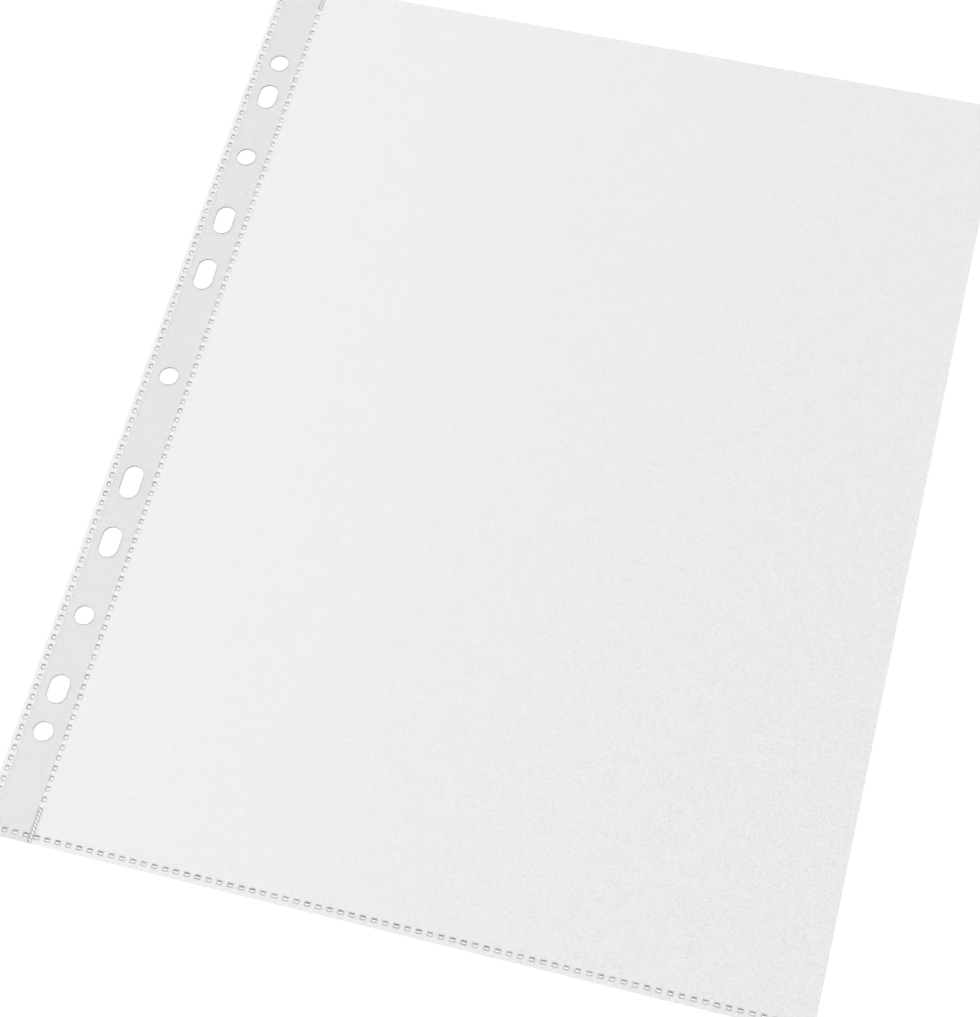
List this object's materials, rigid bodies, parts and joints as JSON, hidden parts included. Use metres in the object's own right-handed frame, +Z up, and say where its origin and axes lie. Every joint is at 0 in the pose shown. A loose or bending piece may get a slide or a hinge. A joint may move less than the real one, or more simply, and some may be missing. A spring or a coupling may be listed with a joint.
{
  "type": "sheet protector",
  "caption": "Clear grained A4 document pocket with a punched reinforced binding edge, dotted weld seams and a mouth open at the top.",
  "frame": {"origin": "axis of the middle ring hole, on the underside of the pocket", "axes": "+X from the punched edge to the folded edge, +Y from the welded bottom to the open mouth, +Z up"},
  "size_m": [0.24, 0.306, 0.0004],
  "materials": {
    "film": "satin",
    "strip": "satin",
    "weld": "gloss"
  },
  "bodies": {
    "binding_edge": {"binding_strip": "strip", "front_margin_film": "film", "back_margin_film": "film", "outer_seam_welds": "weld", "inner_seam_welds": "weld", "inner_seam_bottom_bar": "weld", "inner_seam_top_bar": "weld", "margin_bottom_welds": "weld", "front_living_hinge": "film", "back_living_hinge": "film"},
    "pocket": {"back_film": "film", "front_bottom_hem": "film", "bottom_seam_welds": "weld", "right_fold": "film"},
    "front_film": {"front_film": "film"}
  },
  "joints": [
    {"name": "page_turn", "type": "hinge", "parent": "binding_edge", "child": "pocket", "pos_m": [0.01, 0, 0.00022], "axis": [0, -1, 0], "range_deg": [-90, 90], "deforming": ["front_living_hinge", "back_living_hinge"]},
    {"name": "mouth_open", "type": "hinge", "parent": "pocket", "child": "front_film", "pos_m": [0.12, -0.14855, 0.00038], "axis": [1, 0, 0], "range_deg": [0, 5]}
  ]
}
